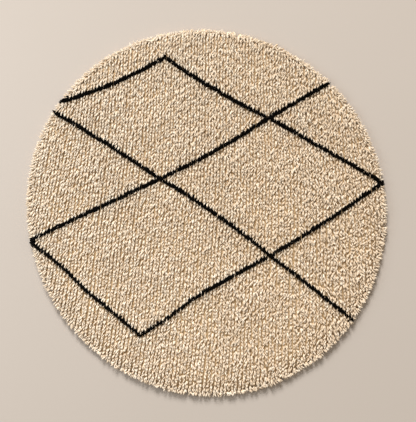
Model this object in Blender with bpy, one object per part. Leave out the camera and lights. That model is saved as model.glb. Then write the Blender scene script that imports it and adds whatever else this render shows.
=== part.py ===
"""A round hand-knotted shag rug lying flat: ground weave and pile in one closed solid.

The pile stands in rows along Y. Its top is a field of rib crests and furrows with lumps in
it, which rolls down to a wall of facets at the rim. Every other facet carries a lock of wool
that falls outwards and lies on the floor.
Metres, +Z up. The origin is the middle of the underside.
"""
import math
import random

import bmesh
import bpy
from mathutils import Vector
from mathutils.geometry import delaunay_2d_cdt

# Outline, seen from above: a circle with three slow waves in its radius.
MEAN_RADIUS = 0.7545
LONGER_ALONG_Y = 0.0066
LONGER_TO_UPPER_LEFT = 0.0110
EGG_SHAPE = 0.0031
OUTERMOST = MEAN_RADIUS + LONGER_ALONG_Y + LONGER_TO_UPPER_LEFT + EGG_SHAPE

# Heights above the floor.
PILE_TOP = 0.0235
ROLL_HEIGHT = 0.0185
SHOULDER_HEIGHT = 0.0115

# Rows of tufts, which make the ribs. They sway, and lean over to the right as they climb
# along Y, most at the left of the rug.
ROW_PITCH = 0.0127
FURROW_DEPTH = 0.0032
ROW_STEP = 0.105
STEP_NUDGE = 0.35
ROW_SWAY = 0.006
SWAY_LENGTH = 0.75
SWAY_SHIFT = 3.0
ROW_LEAN = 0.16
LEAN_FADE = 1.2
TUFT_UNEVENNESS = 0.0009

# Slow lumps in the pile: how long each swell is, which way it runs, and how high it is.
LUMPS = (
    # length, heading (degrees), phase, height
    (0.41, 12.0, 0.6, 0.0011),
    (0.27, 71.0, 2.1, 0.0009),
    (0.17, 128.0, 4.4, 0.0008),
    (0.11, 39.0, 1.3, 0.0006),
)

# Rim: the pile rolls over its last few centimetres, and the locks lie on the floor.
ROLL_WIDTH = 0.045
ROLL_INSET = 0.011
UNDERSIDE_INSET = 0.003
RIM_UNEVENNESS = 0.0015
ROW_END_GAP = 0.009
SHORTEST_ROW = 0.10
LOCKS = 208
LOCK_SPACING_NUDGE = 0.22
LOCK_REACH = (0.003, 0.012)
LOCK_TIP_HEIGHT = (0.0035, 0.0075)
LOCK_TIP_WIDTH = 0.45
LOCK_SWING = 0.0045

WOOL_COLOUR = (0.597, 0.456, 0.305)
WOOL_ROUGHNESS = 0.92
SEED = 20


def rim_radius(angle):
    """Radius of the outline at an angle from +X, before the locks."""
    return (MEAN_RADIUS
            - LONGER_ALONG_Y * math.cos(2 * angle)
            - LONGER_TO_UPPER_LEFT * math.sin(2 * angle)
            + EGG_SHAPE * math.sin(3 * angle))


def depth_inside(x, y):
    """Distance inwards from the outline, along the radius."""
    return rim_radius(math.atan2(y, x)) - math.hypot(x, y)


def lumps(x, y):
    """Sum of the slow swells in the pile."""
    total = 0.0
    for length, heading, phase, height in LUMPS:
        along = x * math.cos(math.radians(heading)) + y * math.sin(math.radians(heading))
        total += height * math.sin(2 * math.pi * along / length + phase)
    return total


def pile_height(x, y):
    """Height of the pile: level inside, rolling down to ROLL_HEIGHT at the rim."""
    inward = min(max((depth_inside(x, y) - ROLL_INSET) / ROLL_WIDTH, 0.0), 1.0)
    roundness = math.sqrt(1.0 - (1.0 - inward) ** 2)
    return ROLL_HEIGHT + (PILE_TOP - ROLL_HEIGHT + lumps(x, y)) * roundness


def row_x(start_x, y):
    """Where the row that crosses the middle line at start_x runs at y."""
    lean = ROW_LEAN * 0.5 * (1.0 - math.tanh(LEAN_FADE * start_x / MEAN_RADIUS))
    sway = ROW_SWAY * math.sin(2 * math.pi * y / SWAY_LENGTH + SWAY_SHIFT * start_x)
    return start_x + lean * y + sway


def row_ends(start_x):
    """Lowest and highest y at which a row is still ROW_END_GAP inside the field's edge."""
    steps = 400
    inside = []
    for step in range(steps + 1):
        y = OUTERMOST * (2.0 * step / steps - 1.0)
        if depth_inside(row_x(start_x, y), y) > ROLL_INSET + ROW_END_GAP:
            inside.append(y)
    if not inside or inside[-1] - inside[0] < SHORTEST_ROW:
        return None
    return inside[0], inside[-1]


def row_points(index, dice):
    """Points of one crest (even index) or furrow (odd index), from end to end."""
    start_x = index * ROW_PITCH / 2
    ends = row_ends(start_x)
    if ends is None:
        return []
    low, high = ends
    spaces = max(2, round((high - low) / ROW_STEP))
    points = []
    for step in range(spaces + 1):
        nudge = 0.0 if step in (0, spaces) else dice.uniform(-STEP_NUDGE, STEP_NUDGE)
        y = low + (high - low) * (step + nudge) / spaces
        x = row_x(start_x, y)
        height = pile_height(x, y) + dice.uniform(-1.0, 1.0) * TUFT_UNEVENNESS
        if index % 2:
            height -= FURROW_DEPTH
        points.append(Vector((x, y, height)))
    return points


def pile_field(ring, dice):
    """Points and triangles of the pile's top inside the ring, with the rows as its edges."""
    points = list(ring)
    edges = [(i, (i + 1) % len(ring)) for i in range(len(ring))]
    last_row = int(2 * OUTERMOST * (1.0 + ROW_LEAN) / ROW_PITCH)
    for index in range(-last_row, last_row + 1):
        row = row_points(index, dice)
        start = len(points)
        points.extend(row)
        edges.extend((start + i, start + i + 1) for i in range(len(row) - 1))
    flat = [point.to_2d() for point in points]
    keep_inside = 1
    merge_distance = 1e-6
    faces = delaunay_2d_cdt(flat, edges, [], keep_inside, merge_distance)[2]
    return points, faces


def facet_angles(dice):
    """Angles of the rim's upright edges, two for each lock, unevenly spaced."""
    facets = 2 * LOCKS
    return [2 * math.pi * (i + dice.uniform(-LOCK_SPACING_NUDGE, LOCK_SPACING_NUDGE)) / facets
            for i in range(facets)]


def rim_ring(bm, angles, inset, height, dice):
    """Ring of vertices that lies about inset from the outline, at a height above the floor."""
    ring = []
    for angle in angles:
        radius = rim_radius(angle) - inset + dice.uniform(-1.0, 1.0) * RIM_UNEVENNESS
        ring.append(bm.verts.new((radius * math.cos(angle), radius * math.sin(angle), height)))
    return ring


def band(bm, lower, upper):
    """Ring of quads between two rings, facing outwards."""
    count = len(lower)
    return [bm.faces.new((lower[i], lower[(i + 1) % count], upper[(i + 1) % count], upper[i]))
            for i in range(count)]


def pull_lock(cap, dice):
    """Draws one extruded facet out into a tapered lock whose underside lies on the floor."""
    middle = cap.calc_center_median()
    outwards = Vector((middle.x, middle.y, 0.0)).normalized()
    sideways = Vector((-outwards.y, outwards.x, 0.0))
    reach = dice.uniform(*LOCK_REACH)
    swing = dice.uniform(-LOCK_SWING, LOCK_SWING)
    tip_height = dice.uniform(*LOCK_TIP_HEIGHT)
    tip_middle = outwards * (middle.dot(outwards) + reach) + sideways * swing
    for vert in cap.verts:
        across = (vert.co - middle).dot(sideways) * LOCK_TIP_WIDTH
        on_floor = vert.co.z < SHOULDER_HEIGHT / 2
        vert.co = tip_middle + sideways * across
        vert.co.z = 0.0 if on_floor else tip_height


def wool():
    """Undyed cream wool, dull and soft."""
    material = bpy.data.materials.new("cream_wool")
    material.use_nodes = True
    shader = material.node_tree.nodes["Principled BSDF"]
    shader.inputs["Base Color"].default_value = (*WOOL_COLOUR, 1.0)
    shader.inputs["Roughness"].default_value = WOOL_ROUGHNESS
    shader.inputs["Metallic"].default_value = 0.0
    material.diffuse_color = (*WOOL_COLOUR, 1.0)
    return material


def centre_on_origin(bm):
    """Moves the solid so that the middle of its box, seen from above, is the origin."""
    xs = [vert.co.x for vert in bm.verts]
    ys = [vert.co.y for vert in bm.verts]
    middle = Vector(((min(xs) + max(xs)) / 2, (min(ys) + max(ys)) / 2, 0.0))
    bmesh.ops.translate(bm, verts=bm.verts, vec=-middle)


def build_rug():
    """Builds the solid from its underside up: wall, roll, field, then the locks."""
    dice = random.Random(SEED)
    bm = bmesh.new()
    angles = facet_angles(dice)
    underside = rim_ring(bm, angles, UNDERSIDE_INSET, 0.0, dice)
    shoulder = rim_ring(bm, angles, 0.0, SHOULDER_HEIGHT, dice)
    roll = rim_ring(bm, angles, ROLL_INSET, ROLL_HEIGHT, dice)
    bm.faces.new(reversed(underside))
    wall = band(bm, underside, shoulder)
    band(bm, shoulder, roll)

    points, faces = pile_field([vert.co.copy() for vert in roll], dice)
    field = roll + [bm.verts.new(point) for point in points[len(roll):]]
    for face in faces:
        bm.faces.new([field[i] for i in face])

    caps = bmesh.ops.extrude_discrete_faces(bm, faces=wall[::2])["faces"]
    for cap in caps:
        pull_lock(cap, dice)
    centre_on_origin(bm)
    bmesh.ops.triangulate(bm, faces=bm.faces)

    mesh = bpy.data.meshes.new("rug")
    bm.to_mesh(mesh)
    bm.free()
    rug = bpy.data.objects.new("rug", mesh)
    rug.data.materials.append(wool())
    bpy.context.scene.collection.objects.link(rug)


for leftover in list(bpy.data.objects):
    bpy.data.objects.remove(leftover)
build_rug()
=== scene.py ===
"""Looks of a round hand-knotted shag rug with dark lozenge lines, lying on a pale floor.

The rug is a woven ground with cut ends of thick three-ply wool yarn at every knot. Cream and
near-black knots are tied in the same rows, so the lozenge lines are part of the pile.
Metres, +Z up, +Y at the top of the picture. The origin is the middle of the underside.
"""
import math

import bpy
import numpy as np
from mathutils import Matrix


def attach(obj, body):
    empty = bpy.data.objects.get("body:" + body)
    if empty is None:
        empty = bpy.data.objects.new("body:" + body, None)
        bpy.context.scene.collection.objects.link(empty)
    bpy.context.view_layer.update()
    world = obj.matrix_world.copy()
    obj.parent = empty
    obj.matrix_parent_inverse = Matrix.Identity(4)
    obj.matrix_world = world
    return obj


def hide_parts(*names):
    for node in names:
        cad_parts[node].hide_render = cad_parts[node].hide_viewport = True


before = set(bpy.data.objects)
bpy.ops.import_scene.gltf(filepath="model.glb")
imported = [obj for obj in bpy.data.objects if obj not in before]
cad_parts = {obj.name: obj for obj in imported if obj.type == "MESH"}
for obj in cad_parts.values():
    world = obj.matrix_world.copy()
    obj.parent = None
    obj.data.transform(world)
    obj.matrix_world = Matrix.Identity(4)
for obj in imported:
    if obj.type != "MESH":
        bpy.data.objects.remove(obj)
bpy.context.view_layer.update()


# ---- Ground weave -------------------------------------------------------------------------
# Wool warps and wefts beaten tight, which every knot of the pile is tied into. It is cut
# round, it lies flat on the floor, and its underside shows the backs of the knots in rows.

# Outline of the rug, seen from above: a circle with three slow waves in its radius.
MEAN_RADIUS = 0.7545
LONGER_ALONG_Y = 0.0066
LONGER_TO_UPPER_LEFT = 0.0110
EGG_SHAPE = 0.0031

GROUND_INSET = 0.014
GROUND_THICKNESS = 0.0035
GROUND_CLEARANCE = 0.0009
GROUND_TOP = GROUND_CLEARANCE + GROUND_THICKNESS
# The furrow's colour is painted shade, down between the humps of the weave.
GROUND_FURROW_SHADE = (0.300, 0.190, 0.100)
GROUND_HUMP = (0.620, 0.485, 0.335)

# Rows of knots: how far apart, and how they lean, fan out, curve and sway.
ROW_PITCH = 0.0131
KNOT_PITCH = 0.0122
ROW_LEAN = 0.050
ROW_FAN = 0.160
ROW_CURVE = 0.035
ROW_SWAY = 0.003
SWAY_LENGTH = 0.75
SWAY_SHIFT = 3.0

# Wool in rows of humps, as on the ground and on the feet of the pile.
WEAVE_CHART_SIZE = 1.6
HUMPS_ACROSS = 2
FUZZ_HEIGHT = 0.25
WEAVE_ROUGHNESS = 0.84
FUZZ_ROUGHNESS = 0.12
WEAVE_SHEEN = 0.2


def rim_radius(angle):
    """Radius of the rug's outline: a circle plus slow waves, two and three to the turn."""
    return (MEAN_RADIUS
            - LONGER_ALONG_Y * np.cos(2 * angle)
            - LONGER_TO_UPPER_LEFT * np.sin(2 * angle)
            + EGG_SHAPE * np.sin(3 * angle))


def outline_middle():
    """Middle of the outline's box, which is where the part's origin is."""
    turn = np.linspace(0.0, 2 * np.pi, 720, endpoint=False)
    x = rim_radius(turn) * np.cos(turn)
    y = rim_radius(turn) * np.sin(turn)
    return (x.min() + x.max()) / 2, (y.min() + y.max()) / 2


MIDDLE_X, MIDDLE_Y = outline_middle()


def depth_inside(x, y):
    """Distance inwards from the outline, measured along the radius."""
    x = x + MIDDLE_X
    y = y + MIDDLE_Y
    return rim_radius(np.arctan2(y, x)) - np.hypot(x, y)


def row_x(start_x, y):
    """Where the row that crosses the middle line at start_x runs, as x at a height y.

    It is start_x plus y times the row's slope, less ROW_CURVE times y squared, plus a slow
    sine. The slope is ROW_LEAN for the middle row and less by ROW_FAN for each metre to the
    right, so the rows draw closer together as they climb.
    """
    sway = ROW_SWAY * np.sin(2 * np.pi * y / SWAY_LENGTH + SWAY_SHIFT * start_x)
    return start_x + (ROW_LEAN - ROW_FAN * start_x) * y - ROW_CURVE * y * y + sway


def row_start(x, y, rounds=8):
    """The inverse of row_x: start at x, and take off what row_x puts on, a few times."""
    start_x = x
    for _ in range(rounds):
        start_x = start_x - (row_x(start_x, y) - x)
    return start_x


def mesh_object(name, points, corners, sizes, chart, material):
    """Object with smooth faces and one UV map.

    corners lists the points of all faces one after another, sizes is how many each face has,
    and chart has a (u, v) for each corner.
    """
    mesh = bpy.data.meshes.new(name)
    mesh.vertices.add(len(points))
    mesh.vertices.foreach_set("co", points.astype(np.float32).ravel())
    mesh.loops.add(len(corners))
    mesh.loops.foreach_set("vertex_index", corners.astype(np.int32))
    mesh.polygons.add(len(sizes))
    mesh.polygons.foreach_set("loop_start", (np.cumsum(sizes) - sizes).astype(np.int32))
    mesh.polygons.foreach_set("use_smooth", np.ones(len(sizes), dtype=bool))
    mesh.uv_layers.new(name="OFBake").data.foreach_set("uv", chart.astype(np.float32).ravel())
    mesh.update(calc_edges=True)
    mesh.validate()
    mesh.materials.append(material)
    piece = bpy.data.objects.new(name, mesh)
    bpy.context.scene.collection.objects.link(piece)
    return piece


def slab_mesh(inset, low, top, spokes=240, rings=10):
    """Points, faces and weave chart of a flat round slab, inset from the rug's outline.

    A section runs from the middle of the top, out over the edge and back to the middle of the
    underside; its two parameters are the share of the radius and the height. The section is
    carried once round the outline. The quads at the middle close on a single point each.
    """
    share = np.linspace(0.0, 1.0, rings + 1)[1:]
    reach = np.concatenate([share, share[::-1]])
    height = np.concatenate([np.full(rings, top), np.full(rings, low)])
    turn = np.linspace(0.0, 2 * np.pi, spokes, endpoint=False)
    radius = (rim_radius(turn) - inset)[None, :] * reach[:, None]
    x = radius * np.cos(turn) - MIDDLE_X
    y = radius * np.sin(turn) - MIDDLE_Y
    z = np.broadcast_to(height[:, None], x.shape)
    around = np.stack([x, y, z], axis=-1).reshape(-1, 3)
    poles = np.array([[-MIDDLE_X, -MIDDLE_Y, top], [-MIDDLE_X, -MIDDLE_Y, low]])
    points = np.concatenate([around, poles])

    inner = np.arange(2 * rings - 1)[:, None] * spokes
    here = np.arange(spokes)[None, :]
    after = (here + 1) % spokes
    bands = np.stack([inner + here, inner + spokes + here, inner + spokes + after,
                      inner + after], axis=-1).reshape(-1, 4)
    pairs = np.arange(0, spokes, 2)
    last = (2 * rings - 1) * spokes
    top_pole = 2 * rings * spokes
    under_pole = top_pole + 1
    top_fan = np.stack([np.full(len(pairs), top_pole), pairs, pairs + 1,
                        (pairs + 2) % spokes], axis=-1)
    under_fan = np.stack([np.full(len(pairs), under_pole), last + (pairs + 2) % spokes,
                          last + pairs + 1, last + pairs], axis=-1)
    corners = np.concatenate([bands, top_fan, under_fan]).ravel()
    across = row_start(points[:, 0], points[:, 1])
    chart = np.stack([across, points[:, 1]], axis=-1) / WEAVE_CHART_SIZE + 0.5
    return points, corners, np.full(len(corners) // 4, 4), chart[corners]


def fill(tree, socket, value):
    """Links a socket given as a value, or sets the value."""
    if isinstance(value, bpy.types.NodeSocket):
        tree.links.new(value, socket)
    else:
        socket.default_value = value


def add_node(tree, kind, label, **inputs):
    """Node with its inputs filled: _0 is its first input, and Noise_Scale its Noise Scale."""
    node = tree.nodes.new(kind)
    node.label = label
    for key, value in inputs.items():
        fill(tree, node.inputs[int(key[1:]) if key[0] == "_" else key.replace("_", " ")], value)
    return node


def work(tree, operation, label, *values):
    """Output of one Math node."""
    node = add_node(tree, "ShaderNodeMath", label, **{f"_{i}": v for i, v in enumerate(values)})
    node.operation = operation
    return node.outputs[0]


def blend_colours(tree, label, share, first, second):
    """Output of one colour Mix node."""
    node = tree.nodes.new("ShaderNodeMix")
    node.label = label
    node.data_type = "RGBA"
    for number, value in ((0, share), (6, first), (7, second)):
        fill(tree, node.inputs[number], value)
    return node.outputs[2]


def chart_position(tree):
    """The piece's chart, as a whole and as its two coordinates."""
    chart = tree.nodes.new("ShaderNodeUVMap")
    chart.uv_map = "OFBake"
    split = add_node(tree, "ShaderNodeSeparateXYZ", "chart", Vector=chart.outputs[0])
    return chart.outputs[0], split.outputs[0], split.outputs[1]


def rows_material(name, furrow, hump_colour):
    """Wool in rows of small humps, two side by side for each knot.

    The height is the root of |sine across the rows| times |sine along them|, where every
    other line of humps is half a knot further on, plus a fine fuzz. By that height the colour
    goes from the furrow's to the hump's, so the furrow's colour is painted shade in the
    hollows.
    """
    material = bpy.data.materials.new(name)
    material.use_nodes = True
    tree = material.node_tree
    shader = tree.nodes["Principled BSDF"]
    chart, across, along = chart_position(tree)
    row = work(tree, "MULTIPLY", "rows", across, HUMPS_ACROSS * WEAVE_CHART_SIZE / ROW_PITCH)
    knot = work(tree, "MULTIPLY", "knots", along, WEAVE_CHART_SIZE / KNOT_PITCH)
    row_hump = work(tree, "ABSOLUTE", "row hump",
                    work(tree, "SINE", "row wave", work(tree, "MULTIPLY", "turns", row, math.pi)))
    stagger = work(tree, "MULTIPLY", "half a knot on every other row", 0.5,
                   work(tree, "MODULO", "odd row", work(tree, "FLOOR", "row number", row), 2.0))
    knot_hump = work(tree, "ABSOLUTE", "knot hump", work(tree, "SINE", "knot wave", work(
        tree, "MULTIPLY", "turns", work(tree, "ADD", "staggered", knot, stagger), math.pi)))
    hump = work(tree, "SQRT", "rounded", work(tree, "MULTIPLY", "knot", row_hump, knot_hump))
    fuzz = add_node(tree, "ShaderNodeTexNoise", "wool fuzz", Vector=chart, Scale=900.0,
                    Detail=3.0, Roughness=0.7)
    height = work(tree, "MULTIPLY_ADD", "height", fuzz.outputs[0], FUZZ_HEIGHT, hump)
    # Painted shade: the colour darkens from the hump's to the furrow's, down into the hollows.
    colour = blend_colours(tree, "painted furrow shade to hump", height, (*furrow, 1.0), (*hump_colour, 1.0))
    bump = add_node(tree, "ShaderNodeBump", "knots", Strength=0.6, Distance=0.0008,
                    Height=height)
    rough = work(tree, "MULTIPLY_ADD", "roughness", fuzz.outputs[0], FUZZ_ROUGHNESS,
                 WEAVE_ROUGHNESS)
    tree.links.new(colour, shader.inputs["Base Color"])
    tree.links.new(rough, shader.inputs["Roughness"])
    tree.links.new(bump.outputs[0], shader.inputs["Normal"])
    shader.inputs["Sheen Weight"].default_value = WEAVE_SHEEN
    return material


def join_rug(piece):
    """Puts a piece on the rug's one body, in place of the plain solid."""
    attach(piece, "root")
    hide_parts("rug")


ground = mesh_object("ground_weave", *slab_mesh(GROUND_INSET, GROUND_CLEARANCE, GROUND_TOP),
                     rows_material("ground_weave", GROUND_FURROW_SHADE, GROUND_HUMP))
join_rug(ground)


# ---- Feet of the pile ---------------------------------------------------------------------
# Beaten together by the wefts, the lower halves of the ends stand so close that they are one
# springy mass. Only they show, in the furrows between the rows, and their warm brown is
# painted shade, darkest down in each furrow.

FEET_INSET = 0.024
FEET_BOTTOM = GROUND_CLEARANCE + GROUND_THICKNESS / 2
FEET_TOP = 0.0135
# The feet's colours are painted shade: warm brown for the shade under the pile, darker still down
# in the furrows.
FEET_FURROW_SHADE = (0.28, 0.180, 0.094)
FEET_HUMP = (0.56, 0.395, 0.218)

feet = mesh_object("pile_feet", *slab_mesh(FEET_INSET, FEET_BOTTOM, FEET_TOP),
                   rows_material("pile_feet", FEET_FURROW_SHADE, FEET_HUMP))
join_rug(feet)


# ---- Knots and the lozenge chart ----------------------------------------------------------
# The knotter ties one knot after another along each row, changing from cream to near-black
# wool where the chart says so. The dark lines run straight from corner to corner, or bow a
# little, as a line that is counted by eye does.

SEED = 11

# Rows: how many more than would fit, how uneven their spacing is, and how far they wander.
# KNOT_CLEARANCE is how far inside the outline every knot is.
SPARE_ROWS = 3
ROW_UNEVENNESS = 0.0009
ROW_WANDER = 0.0008
WANDER_LENGTHS = (0.19, 0.067)
KNOT_CLEARANCE = 0.008

# How far a knot strays along its row and aside, where the pile is neat and where it is loose.
STRAY_ALONG = (0.0020, 0.0026)
STRAY_ASIDE = (0.0007, 0.0014)
LOOSE_ZONE = (-0.30, 0.80)
LOOSE_TILT = 0.4

# How much of a dark knot's shift its neighbours make room for, and how many rows past its
# corners a dark line still takes in.
MAKE_ROOM = 0.8
PAST_CORNER = 0.6

# Corners of the lines, seen from above: right and up from the rug's middle.
CORNERS = {
    "upper_left_rim": (-0.618, 0.458),
    "top": (-0.172, 0.645),
    "left_rim": (-0.636, 0.423),
    "left_crossing": (-0.194, 0.143),
    "upper_crossing": (0.258, 0.395),
    "upper_right_rim": (0.517, 0.547),
    "right_point": (0.728, 0.127),
    "lower_crossing": (0.263, -0.175),
    "lower_bend": (-0.060, -0.356),
    "bottom_point": (-0.278, -0.503),
    "left_bend": (-0.506, -0.314),
    "left_point": (-0.738, -0.114),
    "lower_right_rim": (0.604, -0.440),
}
SPANS = (
    # from, to, bow towards +Y at its middle
    ("upper_left_rim", "top", -0.0170),
    ("top", "upper_crossing", -0.0120),
    ("upper_crossing", "right_point", 0.0020),
    ("right_point", "lower_crossing", -0.0080),
    ("lower_crossing", "lower_bend", 0.0020),
    ("lower_bend", "bottom_point", -0.0090),
    ("bottom_point", "left_bend", 0.0030),
    ("left_bend", "left_point", 0.0130),
    ("left_point", "left_crossing", 0.0),
    ("left_crossing", "upper_crossing", -0.0110),
    ("upper_crossing", "upper_right_rim", 0.0),
    ("left_rim", "left_crossing", 0.0065),
    ("left_crossing", "lower_crossing", 0.0160),
    ("lower_crossing", "lower_right_rim", 0.0020),
)


def smooth_step(low, high, value):
    """0 below low, 1 above high, and 3s^2 - 2s^3 of the share s between them."""
    share = np.clip((value - low) / (high - low), 0.0, 1.0)
    return share * share * (3.0 - 2.0 * share)


def looseness(x, y):
    """How untidy the pile is: a smooth step from 0 at the upper left to 1 at the lower right."""
    return smooth_step(*LOOSE_ZONE, x - LOOSE_TILT * y)


def line_crossings(x, y, half_x, half_y):
    """How far along its row each knot lies from where a dark line crosses it, as a y.

    A knot's stretch of the row runs from (-half_x, -half_y) to (half_x, half_y) around it. A
    line is y as a function of x: the straight chord at the share t of the way along it, plus
    4t(1 - t) of its bow. It crosses the stretch if it passes from above one end of it to below
    the other. Knots that no line crosses get NaN.
    """
    offset = np.full(x.shape, np.nan)
    for start, end, bow in SPANS:
        (x0, y0), (x1, y1) = CORNERS[start], CORNERS[end]

        def above(at_x, at_y):
            share = (at_x - x0) / (x1 - x0)
            return at_y - (y0 + share * (y1 - y0) + 4 * share * (1 - share) * bow)

        low = above(x - half_x, y - half_y)
        high = above(x + half_x, y + half_y)
        share = (x - x0) / (x1 - x0)
        margin = PAST_CORNER * ROW_PITCH / abs(x1 - x0)
        crossed = (low <= 0) & (high > 0) & (share > -margin) & (share < 1.0 + margin)
        offset = np.where(crossed, half_y * (-low - high) / (high - low), offset)
    return offset


def tie_knots(dice):
    """All knots on the rug: x, y, the slope and the number of the row, and if each is dark.

    The grid is row number by knot number. The rows' spacing is uneven by a random walk that
    ends where it began. A row is row_x of its start, plus its own slow wander, a sum of two
    sines. Where a row crosses a dark line, its nearest knot is dark and sits on the line, and
    the knots before and after it make room. The others stray, most at the lower right.
    """
    reach = MEAN_RADIUS * (1.0 + ROW_LEAN + ROW_FAN) + SPARE_ROWS * ROW_PITCH
    rows = np.arange(-int(reach / ROW_PITCH), int(reach / ROW_PITCH) + 1)
    knots = np.arange(-int(reach / KNOT_PITCH), int(reach / KNOT_PITCH) + 1)
    row, knot = np.meshgrid(rows, knots, indexing="ij")
    phase = dice.uniform(0.0, 2 * np.pi, (3, len(rows), 1))
    walk = np.cumsum(dice.normal(0.0, ROW_UNEVENNESS, len(rows)))
    walk -= np.linspace(walk[0], walk[-1], len(rows))
    start_x = (rows * ROW_PITCH + walk)[:, None]

    def place(y):
        long_wave, short_wave = (np.sin(2 * np.pi * y / length + own_phase)
                                 for length, own_phase in zip(WANDER_LENGTHS, phase))
        return row_x(start_x, y) + ROW_WANDER * (long_wave + short_wave)

    y = (knot + phase[2] / (2 * np.pi)) * KNOT_PITCH
    half = KNOT_PITCH / 2
    half_x = (place(y + half) - place(y - half)) / 2
    offset = line_crossings(place(y), y, half_x, half)
    dark = ~np.isnan(offset)
    to_line = np.where(dark, offset, 0.0)
    beside = np.roll(to_line, 1, axis=1) + np.roll(to_line, -1, axis=1)
    strays = dice.normal(0.0, 1.0, (2, *row.shape)) * ~dark
    loose = looseness(place(y), y)
    along = np.interp(loose, (0, 1), STRAY_ALONG) * strays[0]
    aside = np.interp(loose, (0, 1), STRAY_ASIDE) * strays[1]
    y = y + np.where(dark, to_line, MAKE_ROOM * beside) + along
    x = place(y) + aside
    on_rug = depth_inside(x, y) > KNOT_CLEARANCE
    return x[on_rug], y[on_rug], (half_x / half)[on_rug], row[on_rug], dark[on_rug]


dice = np.random.default_rng(SEED)
knot_x, knot_y, knot_slope, knot_row, knot_dark = tie_knots(dice)


# ---- Yarn ends ----------------------------------------------------------------------------
# Each knot leaves cut ends of soft three-ply wool standing up, which bend over under their own
# weight and the pile's: down the row in the body of the rug, and outwards at its rim.

# Height of the pile: its level top, by how much a cream knot falls short of it, how uneven a
# knot's ends are, how much higher the dark ends stand, and how much lower all are at the rim.
PILE_TOP = 0.0235
KNOT_SHORTFALL = 0.0011
END_UNEVENNESS = 0.0008
DARK_EXTRA_HEIGHT = 0.0024
RIM_DROP = 0.0025
RIM_ZONE = 0.032
LUMPS = (
    # length, heading (degrees), phase, height
    (0.41, 12.0, 0.6, 0.0011),
    (0.27, 71.0, 2.1, 0.0009),
    (0.17, 128.0, 4.4, 0.0008),
    (0.11, 39.0, 1.3, 0.0006),
)

# Places of a knot's ends: in pairs, PAIR_SPREAD to each side of its middle, which is less
# towards the top by CLOSER_UPWARDS for each metre. A dark knot has three pairs, further to the
# side and DARK_SPREAD apart along the row.
CREAM_ENDS = 2
DARK_ENDS = 6
PAIR_SPREAD = 0.0019
PAIR_UNEVENNESS = (0.75, 1.25)
DARK_WIDER = 1.75
DARK_SPREAD = 0.0054
CLOSER_UPWARDS = 0.32
CREAM_END_STRAY = 0.0025
DARK_KNOT_STRAY = 0.0012

# Bend of an end: its lean from the upright at the root and at the tip (mean and spread), which
# is less or more in places, and the heading that it falls to. HEADING_SPREAD is from knot to
# knot and END_SPLAY from end to end, each where the pile is neat and where it is loose.
ROOT_HEIGHT = 0.0030
ROOT_LEAN = math.radians(12)
TIP_LEAN = (math.radians(80), math.radians(10))
FLATTER_UPWARDS = math.radians(16)
FLATTER_AT_RIM = math.radians(10)
DARK_STEEPER = math.radians(32)
FALL_HEADING = math.radians(-98)
HEADING_SPREAD = (math.radians(6), math.radians(15))
END_SPLAY = (0.11, 0.17)
RIM_TURN = 0.62
RIM_SPLAY = 0.3
KNOT_SWERVE = 0.06
END_SWERVE = 0.10

# Yarn: an end is a tube with YARN_SIDES sides. Its rings are at RING_SHARES of its length, and
# their radius is YARN_RADIUS times RING_WIDTHS.
YARN_RADIUS = 0.0019
RADIUS_SPREAD = (0.84, 1.16)
DARK_THICKER = 1.50
YARN_SIDES = 5
RING_SHARES = np.array([0.0, 0.48, 0.80, 1.0])
RING_WIDTHS = np.array([1.40, 1.45, 1.20, 0.70])
BEND_STEPS = 50
NEVER_ZERO = 1e-12
PLIES = 3
PLY_TURNS = 1.3

# Shades: the chart has YARN_WINDOWS windows, from the darkest to the palest. A knot's own is
# drawn from a beta distribution, and it is paler by PALER_LEFT windows a metre to the left;
# that drift is painted light, as from the light at the left.
YARN_WINDOWS = 12
WINDOW_MARGIN = 0.04
SHADE_DRAW = (2.4, 2.0)
SHADE_STRAY = 2.5
PALER_LEFT = 5.0

# Colouring of one end: the root's colour, which is painted shade, gives way to the tip's
# between ROOT_TO_TIP along it and FLANK_TO_TOP round it, so that the lower part and the flanks
# are painted dark and the upper side painted lit. PLY_LIGHT and FIBRE_LIGHT are how much of
# the light changes with the plies and fibres, and how much stays without them; the dark
# between the plies is painted shade. Green and blue fade in the dark by these powers.
# FIBRE_DULLNESS is how the roughness changes with the fibres, and its most.
ROOT_TO_TIP = (0.20, 0.55)
FLANK_TO_TOP = (0.25, 0.70)
PLY_NARROWING = 0.6
PLY_LIGHT = (0.42, 0.66)
FIBRE_FINENESS = 7.0
FIBRE_SHIFT = 3.7
FIBRE_LIGHT = (0.60, 0.72)
GREEN_FADE = 1.45
BLUE_FADE = 2.1
FIBRE_RELIEF = 0.35
FIBRE_DULLNESS = (-0.15, 0.97)

# The root colours are painted shade, for the lower part and the flanks of each end.
CREAM_TIP = (0.86, 0.74, 0.592)
CREAM_ROOT_SHADE = (0.87, 0.670, 0.435)
BLACK_TIP = (0.0050, 0.0042, 0.0036)
BLACK_ROOT_SHADE = (0.003, 0.002, 0.0015)


def pile_height(x, y):
    """Height of the pile: its top plus slow sine lumps, lower within RIM_ZONE of the rim."""
    lumps = np.zeros(x.shape)
    for length, heading, phase, height in LUMPS:
        along = x * math.cos(math.radians(heading)) + y * math.sin(math.radians(heading))
        lumps += height * np.sin(2 * np.pi * along / length + phase)
    inward = smooth_step(0.0, RIM_ZONE, depth_inside(x, y))
    return (PILE_TOP + lumps) - RIM_DROP * (1.0 - inward)


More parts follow.
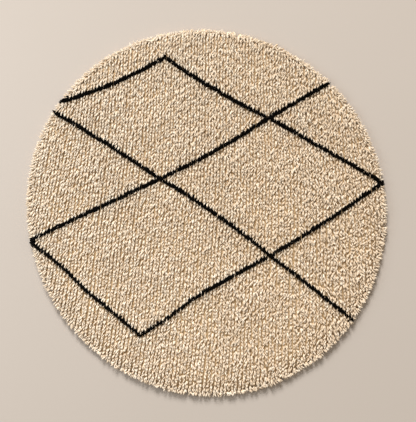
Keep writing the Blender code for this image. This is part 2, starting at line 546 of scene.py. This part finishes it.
def bent_lines(heading, root_lean, tip_lean, swerve):
    """Middle lines of yarn ends of length 1 from their roots, as points (end, ring, xyz).

    An end's lean from the upright grows evenly from root_lean to tip_lean along it, while its
    heading turns by swerve. The line is the running sum of short straight steps, kept where
    the rings are.
    """
    fine = np.linspace(0.0, 1.0, BEND_STEPS + 1)
    middle = (fine[1:] + fine[:-1]) / 2
    lean = root_lean[:, None] + (tip_lean - root_lean)[:, None] * middle
    way = heading[:, None] + swerve[:, None] * middle
    steps = np.stack([np.sin(lean) * np.cos(way), np.sin(lean) * np.sin(way), np.cos(lean)],
                     axis=-1) / BEND_STEPS
    line = np.concatenate([np.zeros((len(heading), 1, 3)), np.cumsum(steps, axis=1)], axis=1)
    return line[:, np.round(RING_SHARES * BEND_STEPS).astype(int)]


def place_lines(lines, length, x, y, z):
    """Lines of length 1 brought to their own length and root: the root plus length times each."""
    root = np.stack([x, y, np.broadcast_to(z, x.shape)], axis=-1)
    return root[:, None, :] + lines * length[:, None, None]


def yarn_mesh(line, radius, window, lowest=0.0):
    """Points, faces and chart of yarn ends along their middle lines.

    Across the end, the ring is a regular figure of YARN_SIDES corners whose first corner is on
    the underside of the bend. In the chart, u runs once round the end inside its own window,
    so that the upper side is at the window's middle, and v runs from lowest at the root to 1 at
    the tip.
    """
    count, rings = line.shape[:2]
    tangent = np.gradient(line, axis=1)
    tangent /= np.linalg.norm(tangent, axis=-1, keepdims=True)
    across = np.cross(tangent[:, -1], [0.0, 0.0, 1.0])
    across /= np.linalg.norm(across, axis=-1, keepdims=True) + NEVER_ZERO
    first = across[:, None, :] - tangent * np.sum(across[:, None, :] * tangent, axis=-1,
                                                  keepdims=True)
    first /= np.linalg.norm(first, axis=-1, keepdims=True)
    second = np.cross(tangent, first)
    corner = np.arange(YARN_SIDES)
    angle = 2 * np.pi * corner / YARN_SIDES + np.pi / 2
    out = (radius[:, None] * RING_WIDTHS)[:, :, None, None]
    ring = out * (first[:, :, None, :] * np.cos(angle)[:, None]
                  + second[:, :, None, :] * np.sin(angle)[:, None])
    points = (line[:, :, None, :] + ring).reshape(-1, 3)

    start = (np.arange(rings - 1) * YARN_SIDES)[:, None]
    after = (corner + 1) % YARN_SIDES
    wall = np.stack([start + corner, start + after, start + YARN_SIDES + after,
                     start + YARN_SIDES + corner], axis=-1).ravel()
    tip = (rings - 1) * YARN_SIDES + corner
    corners = np.concatenate([wall, corner[::-1], tip])
    sizes = np.concatenate([np.full(len(wall) // 4, 4), [YARN_SIDES, YARN_SIDES]])

    turn = np.broadcast_to(np.stack([corner, corner + 1, corner + 1, corner], axis=-1),
                           (rings - 1, YARN_SIDES, 4)).ravel()
    turn = np.concatenate([turn, corner[::-1], corner]) / YARN_SIDES
    height = np.stack([RING_SHARES[:-1], RING_SHARES[:-1], RING_SHARES[1:], RING_SHARES[1:]],
                      axis=-1)[:, None, :]
    height = np.broadcast_to(height, (rings - 1, YARN_SIDES, 4)).ravel()
    height = np.concatenate([height, np.zeros(YARN_SIDES), np.ones(YARN_SIDES)])
    height = lowest + (1.0 - lowest) * height
    around = (window[:, None] + WINDOW_MARGIN + (1 - 2 * WINDOW_MARGIN) * turn) / YARN_WINDOWS
    chart = np.stack([around, np.broadcast_to(height, around.shape)], axis=-1).reshape(-1, 2)
    offsets = (np.arange(count) * rings * YARN_SIDES)[:, None]
    return points, (corners + offsets).ravel(), np.tile(sizes, count), chart


def smooth_range(tree, label, value, ends):
    """Output of one Map Range node: a smooth step from 0 to 1 between the two ends."""
    node = add_node(tree, "ShaderNodeMapRange", label, _0=value, _1=ends[0], _2=ends[1],
                    _3=0.0, _4=1.0)
    node.interpolation_type = "SMOOTHSTEP"
    return node.outputs[0]


def yarn_pattern():
    """Shader group that colours one yarn end from its chart.

    Round the end the plies are |sine| humps that wind up it, and a noise drawn out along them
    is the fibres. Light is the product of the plies, whose hollows get painted shade, the
    fibres and the end's own shade of wool. It multiplies the root's colour, which is painted
    shade, low down and on the flanks, and the tip's on the upper side, which is painted as
    lit, with a higher power of it for green and blue, so that what is darker is warmer.
    """
    group = bpy.data.node_groups.new("yarn_pattern", "ShaderNodeTree")
    for label, kind in (("Tip Colour", "NodeSocketColor"), ("Root Shade Colour", "NodeSocketColor"),
                        ("Shade Spread", "NodeSocketFloat")):
        group.interface.new_socket(label, in_out="INPUT", socket_type=kind)
    for label, kind in (("Colour", "NodeSocketColor"), ("Height", "NodeSocketFloat"),
                        ("Roughness", "NodeSocketFloat")):
        group.interface.new_socket(label, in_out="OUTPUT", socket_type=kind)
    given = group.nodes.new("NodeGroupInput")
    result = group.nodes.new("NodeGroupOutput")

    _, across, along = chart_position(group)
    windows = work(group, "MULTIPLY", "windows", across, float(YARN_WINDOWS))
    window = work(group, "FLOOR", "window", windows)
    around = work(group, "FRACT", "way round", windows)
    ply_place = work(group, "MULTIPLY_ADD", "plies wind up the yarn", along, PLIES * PLY_TURNS,
                     work(group, "MULTIPLY", "plies", around, float(PLIES)))
    ply = work(group, "ABSOLUTE", "round plies", work(group, "SINE", "ply wave", work(
        group, "MULTIPLY", "half turns", ply_place, math.pi)))
    fibre_place = add_node(
        group, "ShaderNodeCombineXYZ", "fibres run along the plies",
        X=work(group, "MULTIPLY", "across a ply", ply_place, FIBRE_FINENESS),
        Y=work(group, "MULTIPLY", "up", along, FIBRE_FINENESS),
        Z=work(group, "MULTIPLY", "own", window, FIBRE_SHIFT))
    fibre = add_node(group, "ShaderNodeTexNoise", "fibres", Vector=fibre_place.outputs[0],
                     Scale=1.0, Detail=5.0, Roughness=0.7).outputs[0]

    # Painted shade on the root and the flanks, painted light on the upper side of the tip.
    upwards = smooth_range(group, "root to tip", along, ROOT_TO_TIP)
    half_turn = work(group, "MULTIPLY", "half turn", around, math.pi)
    upper = smooth_range(group, "flank to upper side",
                         work(group, "SINE", "height on the end", half_turn), FLANK_TO_TOP)
    unshaded_top = work(group, "MULTIPLY", "upper side of the tip", upwards, upper)
    narrow = work(group, "POWER", "narrow", ply, PLY_NARROWING)
    # Painted shade in the hollows between the plies.
    painted_ply_shade = work(group, "MULTIPLY_ADD", "painted shade between plies", narrow, *PLY_LIGHT)
    streak = work(group, "MULTIPLY_ADD", "streaks", fibre, *FIBRE_LIGHT)
    share = work(group, "DIVIDE", "share", window, float(YARN_WINDOWS - 1))
    shade = work(group, "MULTIPLY_ADD", "own shade",
                 work(group, "SUBTRACT", "lighter or darker", share, 0.5),
                 given.outputs["Shade Spread"], 1.0)
    yarn_light = work(group, "MULTIPLY", "plies and fibres", painted_ply_shade, streak)
    light = work(group, "MULTIPLY", "light", yarn_light, shade)

    # Painted shade: the root's colour low down and on the flanks, the tip's on the upper side.
    base = blend_colours(group, "root to tip", unshaded_top, given.outputs["Root Shade Colour"],
                         given.outputs["Tip Colour"])
    # Green and blue fade faster where it is darker, so the painted shade and the darker wool are
    # warmer.
    warm = add_node(group, "ShaderNodeCombineXYZ", "warmer where it is darker", X=light,
                    Y=work(group, "POWER", "less green", light, GREEN_FADE),
                    Z=work(group, "POWER", "least blue", light, BLUE_FADE))
    shaded = add_node(group, "ShaderNodeVectorMath", "shaded", _0=base, _1=warm.outputs[0])
    shaded.operation = "MULTIPLY"
    relief = work(group, "MULTIPLY_ADD", "relief", fibre, FIBRE_RELIEF, ply)
    dullness = work(group, "MULTIPLY_ADD", "dullness", fibre, *FIBRE_DULLNESS)
    group.links.new(shaded.outputs[0], result.inputs["Colour"])
    group.links.new(relief, result.inputs["Height"])
    group.links.new(dullness, result.inputs["Roughness"])
    return group


YARN_PATTERN = yarn_pattern()


def wool_material(name, tip, root, spread, sheen, gloss):
    """Dull wool yarn with its own tip colour, root colour of painted shade and spread of shades.
    """
    material = bpy.data.materials.new(name)
    material.use_nodes = True
    tree = material.node_tree
    shader = tree.nodes["Principled BSDF"]
    yarn = tree.nodes.new("ShaderNodeGroup")
    yarn.node_tree = YARN_PATTERN
    yarn.inputs["Tip Colour"].default_value = (*tip, 1.0)
    yarn.inputs["Root Shade Colour"].default_value = (*root, 1.0)
    yarn.inputs["Shade Spread"].default_value = spread
    bump = add_node(tree, "ShaderNodeBump", "plies and fibres", Strength=0.8, Distance=0.0009,
                    Height=yarn.outputs["Height"])
    tree.links.new(yarn.outputs["Colour"], shader.inputs["Base Color"])
    tree.links.new(yarn.outputs["Roughness"], shader.inputs["Roughness"])
    tree.links.new(bump.outputs[0], shader.inputs["Normal"])
    shader.inputs["Sheen Weight"].default_value = sheen
    shader.inputs["Sheen Roughness"].default_value = 0.6
    shader.inputs["Diffuse Roughness"].default_value = 1.0
    shader.inputs["Specular IOR Level"].default_value = gloss
    return material


# The root colours here are painted shade.
cream_yarn = wool_material("cream_yarn", CREAM_TIP, CREAM_ROOT_SHADE, spread=0.20, sheen=0.04,
                           gloss=0.12)
black_yarn = wool_material("black_yarn", BLACK_TIP, BLACK_ROOT_SHADE, spread=0.5, sheen=0.0,
                           gloss=0.02)


def knot_headings(dice):
    """The way each knot's ends fall, and how near the rim the knot is, from 0 to 1.

    They fall down their row, somewhat at random. Near the rim, a share of up to RIM_TURN of
    that direction gives way to the direction outwards, which is a little random too.
    """
    spread = np.interp(looseness(knot_x, knot_y), (0, 1), HEADING_SPREAD)
    down_row = FALL_HEADING - np.arctan(knot_slope)
    heading = down_row + spread * dice.normal(size=len(knot_x))
    outward = (np.arctan2(knot_y + MIDDLE_Y, knot_x + MIDDLE_X)
               + RIM_SPLAY * dice.normal(size=len(knot_x)))
    near_rim = 1.0 - smooth_step(KNOT_CLEARANCE, RIM_ZONE, depth_inside(knot_x, knot_y))
    share = RIM_TURN * near_rim
    fall_x = (1 - share) * np.cos(heading) + share * np.cos(outward)
    fall_y = (1 - share) * np.sin(heading) + share * np.sin(outward)
    return np.arctan2(fall_y, fall_x), near_rim


def place_ends(knot, dark, dice):
    """Where the ends of the knots stand.

    They are in two columns beside the knot's middle. The pairs of a dark knot are one above,
    one on and one below the line where it crosses each column.
    """
    count = len(knot)
    number = np.arange(count)
    side = np.where(number % 2, 1.0, -1.0)
    aside = side * PAIR_SPREAD * np.where(dark, DARK_WIDER, 1.0)
    aside = aside * dice.uniform(*PAIR_UNEVENNESS, count)
    aside *= 1.0 - CLOSER_UPWARDS * knot_y[knot]
    x = knot_x[knot] + aside
    y = knot_y[knot] + dice.normal(0.0, CREAM_END_STRAY, count) * ~dark
    to_line = np.nan_to_num(line_crossings(x, y, 0.0, KNOT_PITCH))
    above_line = DARK_SPREAD * (number // 2 % 3 - 1.0)
    stray = dice.normal(0.0, DARK_KNOT_STRAY, len(knot_x))[knot]
    return x, y + (to_line + above_line + stray) * dark


def raise_pile(dice):
    """All cut ends: middle lines, radii and windows, if each is dark, and its row.

    Lean, swerve and shade are the knot's own plus a little of each end's own. The line's
    length is what brings its highest ring to the pile's height.
    """
    knot_count = len(knot_x)
    knot_heading, near_rim = knot_headings(dice)
    short_by = np.abs(dice.normal(0.0, KNOT_SHORTFALL, knot_count))
    knot_top = (pile_height(knot_x, knot_y) + DARK_EXTRA_HEIGHT * knot_dark
                - short_by * ~knot_dark)
    knot_swerve = dice.normal(0.0, KNOT_SWERVE, knot_count)
    # Painted light: knots are paler towards the left, by PALER_LEFT windows a metre.
    shade = (YARN_WINDOWS - 1) * dice.beta(*SHADE_DRAW, knot_count) - PALER_LEFT * knot_x

    knot = np.repeat(np.arange(knot_count), np.where(knot_dark, DARK_ENDS, CREAM_ENDS))
    count = len(knot)
    dark = knot_dark[knot]
    x, y = place_ends(knot, dark, dice)
    splay = np.interp(looseness(x, y), (0, 1), END_SPLAY)
    heading = knot_heading[knot] + splay * dice.normal(size=count)
    tip_lean = (dice.normal(*TIP_LEAN, count) + FLATTER_UPWARDS * y
                + FLATTER_AT_RIM * near_rim[knot] - DARK_STEEPER * dark)
    height = knot_top[knot] + dice.normal(0.0, END_UNEVENNESS, count) - ROOT_HEIGHT
    swerve = knot_swerve[knot] + dice.normal(0.0, END_SWERVE, count)
    lines = bent_lines(heading, np.full(count, ROOT_LEAN), tip_lean, swerve)
    lines = place_lines(lines, height / lines[..., 2].max(axis=1), x, y, ROOT_HEIGHT)
    # x and y are the middle of what shows of an end, so its root is drawn back by as much.
    shown = 0.5 * (lines[:, -1, :2] + lines[:, -3, :2]) - lines[:, 0, :2]
    lines[..., :2] -= shown[:, None, :]

    radius = YARN_RADIUS * dice.uniform(*RADIUS_SPREAD, count) * np.where(dark, DARK_THICKER, 1.0)
    window = np.round(shade[knot] + dice.normal(0.0, SHADE_STRAY, count))
    return lines, radius, np.clip(window, 0, YARN_WINDOWS - 1), dark, knot_row[knot]


end_lines, end_radius, end_window, end_dark, end_row = raise_pile(dice)


def pile_piece(name, chosen, material):
    """One piece of the pile, from the chosen ends."""
    piece = mesh_object(name, *yarn_mesh(end_lines[chosen], end_radius[chosen],
                                         end_window[chosen]), material)
    join_rug(piece)
    return piece


# ---- Dark lozenge lines -------------------------------------------------------------------
# Near-black wool, one knot in every row that a line of the chart crosses. Its ends are
# thicker, stand steeper and reach a little higher, so they close up into a solid line.

pile_pieces = [feet, pile_piece("lozenge_lines", end_dark, black_yarn)]


# ---- Cream pile ---------------------------------------------------------------------------
# Undyed cream wool, two ends at each knot that isn't dark. The pieces are widths of rows from
# left to right, in the order in which they would be knotted.

CREAM_WIDTHS = 6

edges = np.quantile(end_row[~end_dark], np.linspace(0.0, 1.0, CREAM_WIDTHS + 1))
for number in range(CREAM_WIDTHS):
    upper = edges[number + 1] + (number == CREAM_WIDTHS - 1)
    chosen = ~end_dark & (end_row >= edges[number]) & (end_row < upper)
    pile_pieces.append(pile_piece(f"cream_pile_{number + 1}", chosen, cream_yarn))


# ---- Rim locks ----------------------------------------------------------------------------
# The outermost ends have nothing to lean on, so they tip over the ground's edge in loose
# locks, and the lowest of them lie on the floor.

RIM_TIERS = (
    # ends, inset from the outline, root height, root and tip lean (degrees), length, splay
    (470, 0.0165, 0.0140, 50.0, 96.0, 0.0196, 0.40),
    (470, 0.0150, 0.0090, 62.0, 94.0, 0.0154, 0.30),
    (430, 0.0145, 0.0040, 80.0, 91.0, 0.0154, 0.25),
)

# Spread of the leans (degrees), the swerve and the yarn's radius, the darkest window, which
# leaves out the darkest shades, the chart's start, which leaves out most of the painted root
# shade, and the height of an end on the floor.
ROOT_LEAN_SPREAD = 5.0
TIP_LEAN_SPREAD = 3.0
RIM_SWERVE = 0.6
RIM_RADIUS_SPREAD = (0.82, 1.08)
RIM_DARKEST = 3
RIM_CHART_START = 0.35
LYING_HEIGHT = 1.1 * YARN_RADIUS

# Locks: how many ends each has, how far they close up, how far an end strays from its place,
# how the lock turns as one, and the spread of lengths from lock to lock and in each.
LOCK_ENDS = 5
LOCK_GATHER = 0.25
END_NUDGE = 0.4
LOCK_TURN = 0.25
LOCK_LENGTH = (0.95, 0.09)
END_LENGTHS = (0.85, 1.08)


def rim_ends(dice):
    """Middle lines of the rim's ends, tier by tier.

    The ends are spread evenly round the outline, then each is nudged, drawn in by LOCK_GATHER
    towards the middle of its lock, and turned and lengthened with its lock.
    """
    parts = []
    for count, inset, root, root_lean, tip_lean, length, splay in RIM_TIERS:
        number = np.arange(count)
        lock = number // LOCK_ENDS
        to_middle = LOCK_GATHER * ((lock + 0.5) * LOCK_ENDS - 0.5 - number)
        nudge = dice.uniform(-END_NUDGE, END_NUDGE, count)
        turn = 2 * np.pi * (number + to_middle + nudge) / count
        lock_turn, lock_length = dice.normal(0.0, 1.0, (2, lock[-1] + 1))[:, lock]
        radius = rim_radius(turn) - inset
        x = radius * np.cos(turn) - MIDDLE_X
        y = radius * np.sin(turn) - MIDDLE_Y
        line = bent_lines(turn + LOCK_TURN * lock_turn + dice.normal(0.0, splay, count),
                          np.radians(root_lean + dice.normal(0.0, ROOT_LEAN_SPREAD, count)),
                          np.radians(tip_lean + dice.normal(0.0, TIP_LEAN_SPREAD, count)),
                          dice.normal(0.0, RIM_SWERVE, count))
        length = length * (LOCK_LENGTH[0] + LOCK_LENGTH[1] * lock_length)
        line = place_lines(line, length * dice.uniform(*END_LENGTHS, count), x, y, root)
        line[..., 2] = np.maximum(line[..., 2], LYING_HEIGHT)
        parts.append(line)
    return np.concatenate(parts)


rim_lines = rim_ends(dice)
rim_count = len(rim_lines)
rim_yarn = YARN_RADIUS * dice.uniform(*RIM_RADIUS_SPREAD, rim_count)
rim_window = dice.integers(RIM_DARKEST, YARN_WINDOWS, rim_count).astype(float)
rim_dark = ~np.isnan(line_crossings(rim_lines[:, 2, 0], rim_lines[:, 2, 1], 0.0,
                                    KNOT_PITCH / 2))
for name, chosen, material, slot in (("rim_locks", ~rim_dark, cream_yarn, "cream_wool"),
                                     ("rim_locks_dark", rim_dark, black_yarn, "black_wool")):
    piece = mesh_object(name, *yarn_mesh(rim_lines[chosen], rim_yarn[chosen],
                                         rim_window[chosen], lowest=RIM_CHART_START), material)
    join_rug(piece)
    pile_pieces.append(piece)


# ---- Floor, light and camera --------------------------------------------------------------
# A plain pale floor, lit by a large soft box beyond the top of the picture and a small one at
# the left, and seen from straight above.

FLOOR_HALF = 8.0
FLOOR_DARKER = (0.500, 0.446, 0.402)
FLOOR_PALER = (0.514, 0.460, 0.418)
FLOOR_ROUGHNESS = 0.9
STUDIO_COLOUR = (1.0, 0.90, 0.76)
STUDIO_STRENGTH = 0.41

# The picture in pixels, where the rug's middle is in it, and what a pixel spans on the pile:
# the rug's 1.5 m over its 363 pixels.
PHOTO_WIDTH, PHOTO_HEIGHT = 416, 422
RUG_CENTRE_PIXEL = (206.5, 213.3)
PIXEL = 0.004132
CAMERA_HEIGHT = 3.3
SENSOR_MILLIMETRES = 36.0


def floor_material():
    """Pale matt floor: a slow noise blends two nearly equal colours."""
    material = bpy.data.materials.new("pale_floor")
    material.use_nodes = True
    tree = material.node_tree
    shader = tree.nodes["Principled BSDF"]
    place = tree.nodes.new("ShaderNodeTexCoord")
    cloud = add_node(tree, "ShaderNodeTexNoise", "unevenness", Vector=place.outputs["Object"],
                     Scale=1.3, Detail=2.0)
    colour = blend_colours(tree, "pale", cloud.outputs[0], (*FLOOR_DARKER, 1.0),
                           (*FLOOR_PALER, 1.0))
    tree.links.new(colour, shader.inputs["Base Color"])
    shader.inputs["Roughness"].default_value = FLOOR_ROUGHNESS
    return material


floor_mesh = bpy.data.meshes.new("floor")
floor_mesh.from_pydata([(-FLOOR_HALF, -FLOOR_HALF, 0.0), (FLOOR_HALF, -FLOOR_HALF, 0.0),
                        (FLOOR_HALF, FLOOR_HALF, 0.0), (-FLOOR_HALF, FLOOR_HALF, 0.0)],
                       [], [(0, 1, 2, 3)])
floor_mesh.materials.append(floor_material())
floor = bpy.data.objects.new("floor", floor_mesh)
bpy.context.scene.collection.objects.link(floor)


def soft_light(name, place, size, power, colour):
    """Square soft box at a place, facing the middle of the rug."""
    data = bpy.data.lights.new(name, "AREA")
    data.size = size
    data.energy = power
    data.color = colour
    light = bpy.data.objects.new(name, data)
    light.location = place
    light.rotation_euler = (-light.location).to_track_quat("-Z", "Y").to_euler()
    bpy.context.scene.collection.objects.link(light)


soft_light("key", place=(-3.2, 17.8, 11.5), size=6.9, power=6200.0, colour=(1.0, 0.985, 0.955))
soft_light("fill", place=(-3.3, 0.7, 2.3), size=2.2, power=61.0, colour=(0.86, 0.94, 1.0))
world = bpy.data.worlds.new("studio")
world.use_nodes = True
background = world.node_tree.nodes["Background"]
background.inputs["Color"].default_value = (*STUDIO_COLOUR, 1.0)
background.inputs["Strength"].default_value = STUDIO_STRENGTH
bpy.context.scene.world = world

# The picture is taller than it is wide, so the sensor's size counts along its height.
camera_data = bpy.data.cameras.new("camera")
camera_data.sensor_width = SENSOR_MILLIMETRES
camera_data.lens = SENSOR_MILLIMETRES * (CAMERA_HEIGHT - PILE_TOP) / (PHOTO_HEIGHT * PIXEL)
camera = bpy.data.objects.new("camera", camera_data)
camera.location = ((PHOTO_WIDTH / 2 - RUG_CENTRE_PIXEL[0]) * PIXEL,
                   (RUG_CENTRE_PIXEL[1] - PHOTO_HEIGHT / 2) * PIXEL, CAMERA_HEIGHT)
bpy.context.scene.collection.objects.link(camera)
bpy.context.scene.camera = camera
bpy.context.scene.view_settings.view_transform = "Standard"
